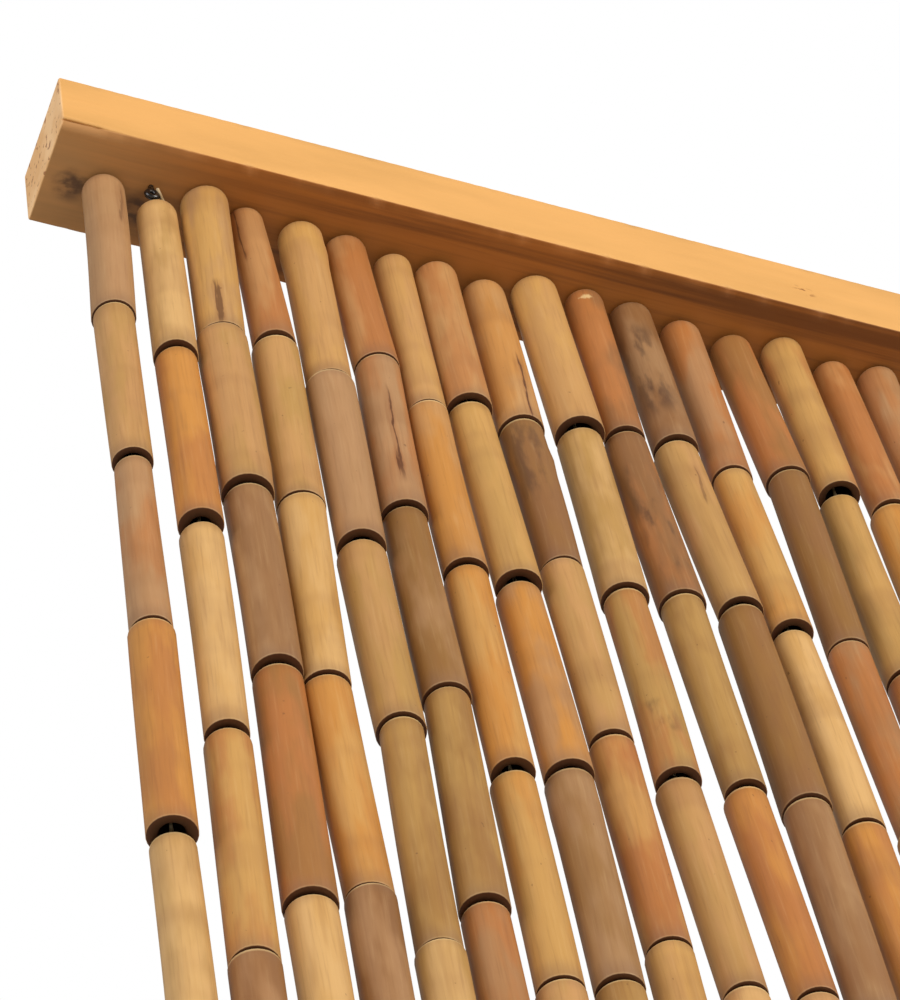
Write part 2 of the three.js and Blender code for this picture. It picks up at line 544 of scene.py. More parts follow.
@dataclass(frozen=True)
class BambooSkin:
    """Dried bamboo cane, washed and tumbled: a hard satin skin over long fibres.

    The eye sees one colour to a tube, clouded along its length, with fine fibre lines,
    greyer ends, and a sawn wall and bore painted dark brown as shade.
    """

    # Painted shade: the sawn wall, its inner part and the bore are coloured dark brown for the
    # shade in the joints.
    cut_wall_shade: str = "4E2E1B"
    cut_core_shade: str = "3A2212"
    bore: str = "26150B"
    end_grey: str = "7C5C44"
    fibre_dark: str = "6E4424"
    fibre_pale: str = "E6CB98"
    streak: str = "8A5E36"
    band: str = "8A5E38"
    crack: str = "3E2413"
    crack_glow: str = "7A4524"
    stain: str = "4F3524"
    # Pale bare skin: real scrapes, and also the painted highlight on the tube rims.
    scrape: str = "E0C58E"
    speck: str = "5A3A22"
    cloud_mm: float = 7.0
    fibre_mm: float = 0.5
    streak_mm: float = 1.8
    band_mm: float = 16.0
    crack_mm: float = 1.8
    spill_mm: float = 3.4
    speck_mm: float = 1.0
    crack_wander: float = 4.0 * MM
    end_wander: float = 6 * MM
    roughness: float = 0.45
    sheen_level: float = 0.32
    relief: float = 0.12
    relief_mm: float = 0.1

    def material(self) -> bpy.types.Material:
        """Builds the node tree.

        Returns:
            The material, which reads the tubes' own attributes.
        """
        paint = Paint("dried_bamboo_tumbled", "tube_place")
        ends = paint.split(paint.attribute("tube_ends"))
        clouds = paint.noise((1, 1, 0.25), self.cloud_mm)
        fibres = paint.noise((1, 1, 0.04), self.fibre_mm)
        tones = [paint.attribute(name, "Color") for name in ("skin_tone", "patch_tone")]
        paint.colour = paint.blend(paint.ramp(clouds, 0.4, 0.62), *tones)
        self.fibre_lines(paint, fibres)
        self.ends_and_rim_highlights(paint, ends, clouds)
        self.marks(paint)
        self.cut_face_shade(paint, ends)
        rough = paint.ramp(clouds, 0.3, 0.7, self.roughness - 0.05, self.roughness + 0.1)
        return paint.finish(rough, self.sheen_level, fibres, self.relief, self.relief_mm)

    def fibre_lines(self, paint: Paint, fibres: Socket) -> None:
        """Darkens and lightens the skin along its fibres, in streaks and in slow bands.

        Args:
            paint: the material.
            fibres: fine noise.
        """
        paint.coat(paint.ramp(fibres, 0.5, 0.76, 0.0, 0.2), self.fibre_dark)
        paint.coat(paint.ramp(fibres, 0.46, 0.28, 0.0, 0.06), self.fibre_pale)
        streak = paint.noise((1, 1, 0.08), self.streak_mm, 2.0)
        paint.coat(paint.ramp(streak, 0.5, 0.75, 0.0, 0.22), self.streak)
        band = paint.noise((0.25, 0.25, 1), self.band_mm, 2.0)
        paint.coat(paint.ramp(band, 0.5, 0.7, 0.0, 0.25), self.band)

    def ends_and_rim_highlights(self, paint: Paint, ends: list, clouds: Socket) -> None:
        """Greys the last millimetres of a tube; pales its top rim as worn skin with a painted
        highlight, and paints a thin highlight along its bottom edge.

        Args:
            paint: the material.
            ends: distances from the top and from the bottom, and the share of the wall.
            clouds: slow noise that makes the border uneven.
        """
        wander = paint.times(clouds, self.end_wander)
        from_top, from_bottom = (paint.maths("ADD", end, wander) for end in ends[:2])
        paint.coat(paint.ramp(from_bottom, 2.5 * MM, 8 * MM, 0.42, 0.0), self.end_grey)
        paint.coat(paint.ramp(from_top, 2.5 * MM, 6 * MM, 0.3, 0.0), self.end_grey)
        # Top rim: worn pale skin with a painted highlight.
        rim = paint.ramp(ends[0], 0.4 * MM, 0.8 * MM, 0.85, 0.0)
        paint.coat(paint.times(rim, clouds), self.scrape)
        # Bottom edge: a thin painted highlight.
        paint.coat(paint.ramp(ends[1], 0.15 * MM, 0.4 * MM, 0.12, 0.0), self.scrape)

    def marks(self, paint: Paint) -> None:
        """Draws each tube's crack, dark stain or scrape, and specks.

        A crack is a thin line along the tube that wanders a little, with a soft brown glow;
        a stain and a scrape are ragged patches round the mark's middle.

        Args:
            paint: the material.
        """
        crack, stain, scrape = paint.split(paint.attribute("mark_strengths"))
        aside, along, _ = paint.split(paint.attribute("mark_place"))
        wander = paint.times(paint.noise((1, 1, 0.12), self.crack_mm, 4.0), self.crack_wander)
        off = paint.maths("SUBTRACT", paint.maths("ADD", aside, wander), self.crack_wander / 2)
        near = paint.maths("ABSOLUTE", off)
        far = paint.maths("ABSOLUTE", along)
        fade = paint.ramp(far, 0.6, 1.0, 1.0, 0.0)
        line = paint.times(paint.ramp(near, 0.1 * MM, 0.42 * MM, 0.9, 0.0), fade)
        paint.coat(paint.times(line, crack), self.crack)
        glow = paint.times(paint.ramp(near, 0.3 * MM, 1.6 * MM, 0.35, 0.0), fade)
        paint.coat(paint.times(glow, crack), self.crack_glow)
        spill = paint.noise((1, 1, 0.25), self.spill_mm, 5.0)
        patch = paint.times(paint.ramp(spill, 0.44, 0.62, 0.0, 0.85), fade)
        reach = paint.times(patch, paint.ramp(near, 1.5 * MM, 4.5 * MM, 1.0, 0.25))
        paint.coat(paint.times(reach, stain), self.stain)
        ragged = paint.times(paint.maths("SUBTRACT", spill, 0.5), 4.0)
        oval = paint.maths("ADD", paint.maths("DIVIDE", near, 1.8 * MM), far)
        bare = paint.ramp(paint.maths("ADD", oval, ragged), 0.5, 1.1, 0.75, 0.0)
        paint.coat(paint.times(bare, scrape), self.scrape)
        speck = paint.noise((1, 1, 0.6), self.speck_mm, 1.0)
        paint.coat(paint.ramp(speck, 0.77, 0.83, 0.0, 0.5), self.speck)

    def cut_face_shade(self, paint: Paint, ends: list) -> None:
        """Paints shade on the sawn wall and the bore, darker towards the bore; the rounded top rim
        keeps its skin.

        Args:
            paint: the material.
            ends: distances from the top and from the bottom, and the share of the wall.
        """
        # Painted shade: the wall darkens towards the bore, and the whole sawn wall is dark brown.
        inner_shade = paint.blend(paint.ramp(ends[2], 0.02, 0.1), self.bore, self.cut_core_shade)
        wall = paint.blend(paint.ramp(ends[2], 0.2, 0.9), inner_shade, self.cut_wall_shade)
        near_top = paint.ramp(ends[0], 1.5 * MM, 3.0 * MM, 1.0, 0.0)
        worn = paint.times(paint.ramp(ends[2], 0.6, 0.85), near_top)
        outside = paint.maths("MAXIMUM", paint.ramp(ends[2], 0.92, 0.98), worn)
        paint.colour = paint.blend(outside, wall, paint.colour)


@dataclass(frozen=True)
class VarnishedBatten:
    """Planed softwood with a thin honey varnish on its face, darker and browner below.

    The eye sees an even orange-yellow face, long dark grain streaks on the underside and a
    paler, rough-sawn end with small dark pores.
    """

    face: str = "DAA45F"
    face_dark: str = "CA9856"
    face_grain: str = "B97A36"
    scratch: str = "8A5526"
    under: str = "A3652A"
    under_dark: str = "74461F"
    under_grain: str = "4E2F19"
    dark_spot: str = "4A3428"
    end: str = "F4C892"
    end_patch: str = "D9A05E"
    end_dark: str = "8A4A28"
    left_end_pale: str = "C0905A"
    left_end_pale_length: float = 45 * MM
    grain_mm: float = 1.6
    cloud_mm: float = 14.0
    streak_mm: float = 4.0
    scratch_mm: float = 0.9
    spot_breakup_mm: float = 2.5
    pore_mm: float = 1.5
    roughness: float = 0.55
    sheen_level: float = 0.3
    relief: float = 0.2
    relief_mm: float = 0.15
    dark_spots: tuple = ((-0.444, 0.002, -0.018), (-0.4295, 0.004, -0.018))
    dark_spot_size: float = 5.0 * MM
    scuff: tuple = (-0.2845, -0.01225, -0.0112)
    scuff_size: float = 3.5 * MM

    def material(self) -> bpy.types.Material:
        """Builds the node tree.

        Returns:
            The material, which reads Object coordinates and the bar's side attributes.
        """
        paint = Paint("varnished_softwood_planed")
        grain = paint.noise((0.04, 1, 1), self.grain_mm, 5.0)
        cloud = paint.noise((0.25, 1, 1), self.cloud_mm)
        face = self.face_colour(paint, grain, cloud)
        below = self.under_colour(paint, grain)
        sawn = self.end_colour(paint, cloud)
        paint.colour = paint.blend(paint.attribute("bar_under", "Fac"), face, below)
        paint.coat(paint.attribute("bar_end", "Fac"), sawn)
        rough = paint.ramp(grain, 0.3, 0.7, self.roughness - 0.06, self.roughness + 0.1)
        return paint.finish(rough, self.sheen_level, grain, self.relief, self.relief_mm)

    def spot(self, paint: Paint, middle: tuple, size: float) -> Socket:
        """A soft round mask around a point of the bar.

        Args:
            paint: the material.
            middle: the point, in metres.
            size: how far from it the mask ends.

        Returns:
            A number from 0 to 1.
        """
        settings = {"operation": "DISTANCE", 0: paint.place, 1: middle}
        off = paint.node("ShaderNodeVectorMath", settings).outputs["Value"]
        return paint.ramp(off, 0.3 * size, size, 1.0, 0.0)

    def face_colour(self, paint: Paint, grain: Socket, cloud: Socket) -> Socket:
        """The varnished front and top, with a few dark scratches.

        Args:
            paint: the material.
            grain: grain noise.
            cloud: slow noise.

        Returns:
            The colour.
        """
        paint.colour = paint.blend(paint.ramp(cloud, 0.35, 0.75), self.face, self.face_dark)
        paint.coat(paint.ramp(grain, 0.6, 0.82, 0.0, 0.15), self.face_grain)
        rub = paint.ramp(paint.noise((0.5, 1, 1), self.scratch_mm, 2.0), 0.56, 0.66)
        paint.coat(paint.times(rub, self.spot(paint, self.scuff, self.scuff_size)), self.scratch)
        return paint.colour

    def under_colour(self, paint: Paint, grain: Socket) -> Socket:
        """The underside, browner and streaked, paler towards its left end, with two dark spots
        there.

        Args:
            paint: the material.
            grain: grain noise.

        Returns:
            The colour.
        """
        streak = paint.noise((0.03, 1, 1), self.streak_mm, 4.0)
        # The underside is coloured darker and browner than the face.
        paint.colour = paint.blend(paint.ramp(streak, 0.38, 0.66), self.under, self.under_dark)
        paint.coat(paint.ramp(grain, 0.5, 0.75, 0.0, 0.35), self.under_grain)
        spot_breakup = paint.ramp(paint.noise((0.6, 1, 1), self.spot_breakup_mm, 4.0), 0.35, 0.6, 0.25, 0.85)
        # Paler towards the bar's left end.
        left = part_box("header_bar")[0].x
        along = paint.split(paint.place)[0]
        paint.coat(paint.ramp(along, left, left + self.left_end_pale_length, 0.7, 0.0), self.left_end_pale)
        # Two dark spots near the left end, broken up by noise.
        for middle in self.dark_spots:
            mask = paint.times(self.spot(paint, middle, self.dark_spot_size), spot_breakup)
            paint.coat(mask, self.dark_spot)
        return paint.colour

    def end_colour(self, paint: Paint, cloud: Socket) -> Socket:
        """The sawn end: pale, with small red-brown pores.

        Args:
            paint: the material.
            cloud: slow noise.

        Returns:
            The colour.
        """
        pores = paint.noise((1, 1, 0.6), self.pore_mm, 2.0)
        sawn = paint.blend(paint.ramp(cloud, 0.4, 0.6, 0.0, 0.5), self.end, self.end_patch)
        return paint.blend(paint.ramp(pores, 0.6, 0.66, 0.0, 0.75), sawn, self.end_dark)


@dataclass(frozen=True)
class LacqueredWire:
    """Bent steel wire with black lacquer: near black, with small sharp glints."""

    colour: str = "15110F"
    worn: str = "3A2E28"
    wear_mm: float = 0.9
    roughness: float = 0.22
    worn_roughness: float = 0.45
    sheen_level: float = 0.5

    def material(self) -> bpy.types.Material:
        """Builds the node tree.

        Returns:
            The material, which reads Object coordinates.
        """
        paint = Paint("black_lacquered_wire")
        wear = paint.ramp(paint.noise((1, 1, 1), self.wear_mm), 0.55, 0.75, 0.0, 0.6)
        paint.colour = paint.blend(wear, self.colour, self.worn)
        rough = paint.ramp(wear, 0.0, 0.6, self.roughness, self.worn_roughness)
        return paint.finish(rough, self.sheen_level)


@dataclass(frozen=True)
class TwistedCord:
    """Two-ply jute cord, spun and unbleached: dull tan with slanting strands.

    The wave texture has about 6.28 half waves in a unit, and a half wave stands for a ply.
    """

    colour: str = "D9C49A"
    shade: str = "8E7550"
    ply_mm: float = 1.3
    half_waves: float = 6.28
    ply_slant: float = 0.6
    ply_wander: float = 1.2
    roughness: float = 0.85
    sheen_level: float = 0.5
    relief: float = 0.4
    relief_mm: float = 0.1

    def material(self) -> bpy.types.Material:
        """Builds the node tree.

        Returns:
            The material, which reads Object coordinates.
        """
        paint = Paint("twisted_jute_cord")
        turn = {"Vector": paint.place, "Rotation": (self.ply_slant, 0, 0)}
        settings = {"bands_direction": "Z", "Distortion": self.ply_wander}
        settings["Vector"] = paint.node("ShaderNodeMapping", turn).outputs[0]
        settings["Scale"] = 1 / (self.ply_mm * MM) / self.half_waves
        ply = paint.node("ShaderNodeTexWave", settings).outputs["Fac"]
        paint.colour = paint.blend(ply, self.colour, self.shade)
        return paint.finish(self.roughness, self.sheen_level, ply, self.relief, self.relief_mm)


@dataclass
class HeaderBar:
    """The wooden batten that the strands hang from, its edges and ends softly worn.

    The nicks and the slow waves along it are given in radians a millimetre.
    """

    edge_radius: float = 0.4 * MM
    end_radius: float = 0.4 * MM
    side_points: int = 9
    corner_points: int = 6
    end_rings: int = 4
    fine_step: float = 1.2 * MM
    fine_length: float = 0.22
    coarse_rings: int = 60
    wave: float = 0.03 * MM
    wave_turns: tuple = (0.035, 0.011)
    nick: float = 0.35 * MM
    nick_turns: tuple = (0.9, 0.23, 2.3)
    corner_wear_length: float = 8 * MM
    corner_wear: float = 0.7 * MM
    cap_shares: tuple = (0.9, 0.72, 0.5, 0.25)

    def stations(self, low_x: float, high_x: float) -> np.ndarray:
        """Places of the rings along the bar, close together at its left end.

        Args:
            low_x: the bar's left end.
            high_x: the bar's right end.

        Returns:
            Increasing x, in metres.
        """
        turn = np.linspace(0, math.pi / 2, self.end_rings + 1)[:-1]
        left = low_x + self.end_radius * (1 - np.cos(turn))
        right = high_x - self.end_radius * (1 - np.cos(turn[::-1]))
        fine = np.arange(low_x + self.end_radius, low_x + self.fine_length, self.fine_step)
        coarse = np.linspace(low_x + self.fine_length, high_x - self.end_radius, self.coarse_rings)
        return np.concatenate([left, fine, coarse, right])

    def outline(self) -> tuple:
        """The bar's outline as corner arcs joined by straight sides.

        A point is the corner's arc centre plus the radius along the arc's angle; points of a
        side lie evenly between the ends of two arcs.

        Returns:
            Signs of the arc centres and unit directions from them, a row for each point, in
            the order front lower corner, underside, back lower corner, and so on round.
        """
        angles = np.linspace(0, math.pi / 2, self.corner_points)
        starts = np.array([-math.pi, -math.pi / 2, 0.0, math.pi / 2])
        signs = np.array([(-1, -1), (1, -1), (1, 1), (-1, 1)], float)
        turn = starts[:, None] + angles[None, :]
        arcs = np.stack([np.cos(turn), np.sin(turn)], -1)
        blend = np.linspace(0, 1, self.side_points + 2)[1:-1]
        centres, directions = [], []
        for corner in range(4):
            after = (corner + 1) % 4
            centres.append(np.repeat(signs[corner][None], self.corner_points, 0))
            directions.append(arcs[corner])
            centres.append(signs[corner] + (signs[after] - signs[corner]) * blend[:, None])
            directions.append(np.repeat(arcs[corner][-1][None], self.side_points, 0))
        return np.concatenate(centres), np.concatenate(directions)

    def surface(self) -> tuple:
        """Points of the bar: ring at each station, point of the outline.

        The outline is scaled to the bar's half depth and half height less the corner radius,
        its radius varies in slow waves, and its corners step inwards at the nicks along the
        edges and at the worn front lower corner near the left end.

        Returns:
            Rings as one body, and the weights of underside and end, a row for each point.
        """
        low, high = (np.array(c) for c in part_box("header_bar"))
        x = self.stations(low[0], high[0])
        into = np.minimum(x - low[0], high[0] - x)
        lack = np.clip(self.end_radius - into, 0, self.end_radius)
        inset = self.end_radius - np.sqrt(np.clip(self.end_radius**2 - lack**2, 0, None))
        centres, directions = self.outline()
        half = (high[1:] - low[1:]) / 2
        middle = (high[1:] + low[1:]) / 2
        reach = half[None, None, :] - self.edge_radius - inset[:, None, None]
        corner_share = np.abs(directions[:, 0] * directions[:, 1]) * 2
        along = x[:, None] / MM
        around = np.arange(len(directions))[None, :] * 1.0
        quick, drift, fine = (along * turns for turns in self.nick_turns)
        nicks = (np.sin(quick + 3 * np.sin(drift)) + np.sin(fine + 1.7)) / 2
        nicks = np.clip(nicks, 0, 1) ** 3 * self.nick * corner_share[None, :]
        slow, slower = (along * turns for turns in self.wave_turns)
        waves = self.wave * np.sin(slow + around * 0.37) * np.sin(slower + 1.3)
        front_low = (directions[:, 0] < -0.01) & (directions[:, 1] < -0.01)
        worn = np.exp(-(((x - low[0]) / self.corner_wear_length) ** 2)) * self.corner_wear
        bite = nicks + worn[:, None] * (front_low * corner_share)[None, :]
        radius = self.edge_radius + waves - 2 * self.wave
        flat = middle + centres[None] * reach + directions[None] * radius[..., None]
        flat = flat - centres[None] * bite[..., None] / math.sqrt(2)
        rings = np.concatenate([np.repeat(x[:, None, None], flat.shape[1], 1), flat], -1)
        under = np.clip(-directions[:, 1] * 5 - 2.5, 0, 1)[None, :]
        end = np.clip(1.25 * lack / self.end_radius, 0, 1)[:, None]
        return self.capped(rings, np.stack(np.broadcast_arrays(under, end), -1))

    def capped(self, rings: np.ndarray, sides: np.ndarray) -> tuple:
        """Closes both ends with rings that shrink to the middle of the end face.

        Args:
            rings: the bar's own rings.
            sides: weights of underside and end.

        Returns:
            Rings as one body and the weights of its points, with those of the two middles.
        """
        shares = np.array(self.cap_shares)[:, None, None]
        caps = []
        for ring in (rings[0], rings[-1]):
            middle = ring.mean(0)
            caps.append(middle + (ring - middle)[None] * shares)
        whole = np.concatenate([caps[0][::-1], rings, caps[1]])
        mark = np.broadcast_to([0.0, 1.0], (len(shares), rings.shape[1], 2))
        weights = np.concatenate([mark, sides, mark]).reshape(-1, 2)
        return whole[None], np.concatenate([weights, [[0, 1], [0, 1]]])

    def build(self, finish: VarnishedBatten) -> bpy.types.Object:
        """Makes the bar and dresses it.

        Args:
            finish: the batten's finish.

        Returns:
            The piece.
        """
        rings, weights = self.surface()
        bar = build_mesh("header_batten", *swept_tubes(rings))
        set_attribute(bar, "bar_under", "FLOAT", weights[:, 0])
        set_attribute(bar, "bar_end", "FLOAT", weights[:, 1])
        dress(bar, finish.material(), "header_bar")
        return bar


@dataclass
class StrandPlan:
    """Where every tube of every strand hangs, worked out once for all the pieces.

    The wave and the sway are those of the solid strands; sizes without MM are in mm.
    """

    strand_count: int = 81
    tubes_a_strand: int = 35
    end_margin: float = 12 * MM
    mean_cut: float = 56.4
    cut_spread: float = 3.8
    cut_limits: tuple = (47.0, 66.0)
    joint_gap: float = 0.15
    mean_step: float = 0.3
    step_spread: float = 0.8
    step_limits: tuple = (-1.5, 2.0)
    shortest_slack: float = 0.6
    slack_spread: float = 1.8
    lean_way: tuple = (0.34, 0.94)
    jitter: float = 0.15
    jitter_limit: float = 0.3
    knot_room: float = 7.0
    wave_sway: float = 1.9
    wave_strands: int = 14
    wave_drop: float = 900.0
    own_sway: float = 0.6
    depth_sway: float = 0.9
    sway_left_at_bar: float = 0.4
    bottom_unevenness: float = 5.0
    joint_depths: tuple = (0.0, 56.0, 113.0, 170.0, 226.0)
    even_steps: int = 8
    plane_y: float = 0.6 * MM
    tone_weights: tuple = (8, 15, 13, 14, 9, 15, 13, 7, 5, 7)
    second_share: float = 0.7
    shade_spread: float = 0.05
    shade_limits: tuple = (0.88, 1.12)
    known_shade: float = 0.4
    girth_spread: float = 0.055
    girth_limits: tuple = (0.88, 1.14)
    usual_taper: float = 0.15 * MM
    mark_rarity: int = 14
    mark_reach: float = 4 * MM
    reach_spread: float = 14 * MM
    underside: float = field(init=False)
    home_x: np.ndarray = field(init=False)
    tops: np.ndarray = field(init=False)
    bottoms: np.ndarray = field(init=False)

    def __post_init__(self) -> None:
        """Reads the frame and places the tubes."""
        bar_low, bar_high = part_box("header_bar")
        self.underside = bar_low.z
        left, right = bar_low.x + self.end_margin, bar_high.x - self.end_margin
        self.home_x = np.linspace(left, right, self.strand_count)
        drop = (self.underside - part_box("bamboo_strands")[0].z) / MM
        levels = self.levels(drop)
        self.tops, self.bottoms = self.places(drop, levels, *self.shifts(levels))

    def levels(self, drop: float) -> np.ndarray:
        """Depths at which the sway is given.

        Args:
            drop: length of the strands in mm.

        Returns:
            Depths in mm, the first joints and then even steps.
        """
        last = self.joint_depths[-1]
        rest = last + (drop - last) / self.even_steps * np.arange(1, self.even_steps + 1)
        return np.concatenate([self.joint_depths, rest])

    def shifts(self, levels: np.ndarray) -> tuple:
        """Sway of each strand at each level: a wave that neighbours share, and its own.

        Args:
            levels: depths in mm.

        Returns:
            Sideways and depthwise shifts in mm, a row for each strand.
        """
        strand = np.arange(self.strand_count)[:, None]
        level = np.arange(len(levels))[None, :]
        freedom = np.where(level == 0, self.sway_left_at_bar, 1.0)
        turn = FULL_TURN * strand / self.wave_strands + levels[None, :] / self.wave_drop
        own = self.own_sway * (2 * scatter(strand, level) - 1)
        side = freedom * self.wave_sway * np.sin(turn) + own
        side[FIRST, : len(self.joint_depths)] = known("shifts")
        depth = freedom * self.depth_sway * (2 * scatter(strand + 0.5, level) - 1)
        depth[FIRST, 0] = known("back")
        depth[FIRST, 1 : len(self.joint_depths)] = 0
        return side, depth

    def places(self, drop: float, levels: np.ndarray, side: np.ndarray, depth: np.ndarray) -> tuple:
        """Middle of each tube's top and bottom end.

        Args:
            drop: length of the strands in mm.
            levels: depths of the sway in mm.
            side: sideways shifts in mm.
            depth: depthwise shifts in mm.

        Returns:
            Two arrays of strands, tubes and three coordinates, in metres.
        """
        chance = Draw.PLACES.start()
        size = (self.strand_count, self.tubes_a_strand)
        cuts = chance.normal(self.mean_cut, self.cut_spread, size).clip(*self.cut_limits)
        slack = self.shortest_slack + self.slack_spread * chance.random(self.strand_count) ** 3
        steps = chance.normal(self.mean_step, self.step_spread, size).clip(*self.step_limits)
        cuts[FIRST, :KNOWN_JOINTS] = known("cuts")
        steps[FIRST, :KNOWN_JOINTS] = known("steps")
        slack[FIRST] = known("slack")
        ragged = scatter(np.arange(self.strand_count) + 0.25, len(levels) - 1)
        rise = self.bottom_unevenness * ragged
        free = drop - self.knot_room - rise - slack - cuts[:, :KNOWN_JOINTS].sum(1)
        cuts[:, KNOWN_JOINTS:] *= (free / cuts[:, KNOWN_JOINTS:].sum(1))[:, None]
        bottom = slack[:, None] + np.cumsum(cuts, 1) - self.joint_gap
        top = bottom + self.joint_gap - cuts
        lean_top = np.concatenate([np.zeros((self.strand_count, 1)), steps[:, :-1]], 1) / 2
        lean_bottom = -steps / 2
        lean_bottom[:, -1] = 0
        ends = []
        for depths, lean in ((top, lean_top), (bottom, lean_bottom)):
            jitter = chance.normal(0, self.jitter, (2, *size))
            jitter = jitter.clip(-self.jitter_limit, self.jitter_limit)
            jitter[:, FIRST, : KNOWN_JOINTS + 1] = 0
            flat = []
            for shift, home, way, own in zip(
                (side, depth), (self.home_x[:, None], self.plane_y), self.lean_way, jitter
            ):
                sway = [np.interp(row, levels, at) for row, at in zip(depths, shift)]
                flat.append(home + (np.stack(sway) + lean * way + own) * MM)
            ends.append(np.stack([*flat, self.underside - depths * MM], -1))
        return ends[0], ends[1]

    def offsets(self, name: str) -> np.ndarray:
        """One field of the first strands as places in metres, and zero for the others."""
        offsets = np.zeros((self.strand_count, 3))
        offsets[FIRST, :2] = known(name)
        return offsets * MM

    def eye_places(self) -> np.ndarray:
        """Where each wire eye is screwed into the bar.

        Returns:
            A place for each strand: over its first tube, or from its home where its row
            says so.
        """
        offsets = self.offsets("eye")
        middle = self.tops[:, 0].copy()
        moved = offsets.any(1)
        middle[moved, 0] = self.home_x[moved]
        middle[moved, 1] = self.plane_y
        middle[:, 2] = self.underside
        return middle + offsets

    def mouth_places(self) -> np.ndarray:
        """Where each cord enters its first tube."""
        return self.tops[:, 0] + self.offsets("mouth")

    def tones(self) -> tuple:
        """Main and second colour of each tube.

        The listed tones come first; the others are drawn, with more honey than umber.
        Each colour is then made a little lighter or darker, the listed ones less so.

        Returns:
            Two arrays of strands, tubes and four linear channels.
        """
        chance = Draw.TONES.start()
        letters = [tone.value[0] for tone in Tone]
        weights = np.array(self.tone_weights) / sum(self.tone_weights)
        size = (2, self.strand_count, self.tubes_a_strand)
        picks = chance.choice(len(letters), size, p=weights)
        for i, strand in enumerate(FIRST_STRANDS):
            for layer, pair in enumerate(zip(*strand.tones.split())):
                picks[layer, i, :KNOWN_TUBES] = [letters.index(letter) for letter in pair]
        main, second = np.array([linear(tone.value[1]) for tone in Tone])[picks]
        second = (1 - self.second_share) * main + self.second_share * second
        shade = chance.normal(1.0, self.shade_spread, size).clip(*self.shade_limits)
        chosen = (slice(None), FIRST, slice(KNOWN_TUBES))
        shade[chosen] = 1 + self.known_shade * (shade[chosen] - 1)
        main[..., :3] *= shade[0][..., None]
        second[..., :3] *= shade[1][..., None]
        return main, second

    def girths(self) -> np.ndarray:
        """Thickness of each tube against the usual one."""
        girths = Draw.GIRTHS.start().normal(1.0, self.girth_spread, self.tops.shape[:2])
        girths = girths.clip(*self.girth_limits)
        girths[FIRST, :KNOWN_TUBES] = known("girths")
        return girths

    def tapers(self) -> np.ndarray:
        """How much thicker each tube's bottom is than its middle, in metres of radius."""
        tapers = self.usual_taper * (2 * Draw.TAPERS.start().random(self.tops.shape[:2]) - 1)
        for tube, growth in TAPERS.items():
            tapers[tube] = growth * MM
        return tapers

    def marks(self) -> tuple:
        """The mark on each tube: its strength by kind, and its place.

        Returns:
            An array of strands, tubes and the channels of Mark, and one of strands, tubes
            and angle in radians, share of the length, and reach in metres.
        """
        chance = Draw.MARKS.start()
        size = (self.strand_count, self.tubes_a_strand, 3)
        strengths = chance.random(size) ** self.mark_rarity
        spots = chance.random(size) * (FULL_TURN, 1, self.reach_spread)
        spots = spots + (0, 0, self.mark_reach)
        strengths[FIRST, :KNOWN_TUBES] = 0
        for tube, blemish in BLEMISHES.items():
            strengths[(*tube, blemish.mark.value)] = blemish.strength
            spots[tube] = (math.radians(blemish.angle), blemish.middle, blemish.reach * MM)
        return strengths, spots


@dataclass(frozen=True)
class TubeForm:
    """The shape of a tube: points down its skin and round it; sizes in mm.

    A point of the section is the bore's radius plus a share of the wall, at a depth below
    the top end plus a share of the tube's length.
    """

    columns: int
    body_shares: tuple
    rim_steps: int
    bore_steps: int
    top_round: float = 1.0
    bottom_round: float = 0.2
    bore_depths: tuple = (0.5, 0.12)
    bore_walls: tuple = (0.0, 0.15)

    def section(self) -> tuple:
        """The closed section, from the bore over the top end, down the skin and back.

        Returns:
            Share of the wall, depth in mm, share of the length, and one on a rounded rim,
            for each point.
        """
        turn = np.linspace(0, math.pi / 2, self.rim_steps + 1)
        share_top = 1 - self.top_round / 2.0 * (1 - np.sin(turn))
        depth_top = self.top_round * (1 - np.cos(turn))
        share_low = 1 - self.bottom_round / 2.0 * (1 - np.cos(turn))
        depth_low = -self.bottom_round * (1 - np.sin(turn))
        body = np.array(self.body_shares)
        inner = np.array(self.bore_walls)[: self.bore_steps]
        into = np.array(self.bore_depths)[: self.bore_steps]
        skin, edge, bore = (np.zeros(len(part)) for part in (body, turn, inner))
        wall = np.concatenate([inner, share_top, skin + 1, share_low, inner[::-1]])
        rim = np.concatenate([bore, edge + 1, skin, edge, bore])
        depth = np.concatenate([into, depth_top, skin, depth_low, -into[::-1]])
        length = np.concatenate([bore, edge, body, edge + 1, bore + 1])
        return wall, depth, length, rim


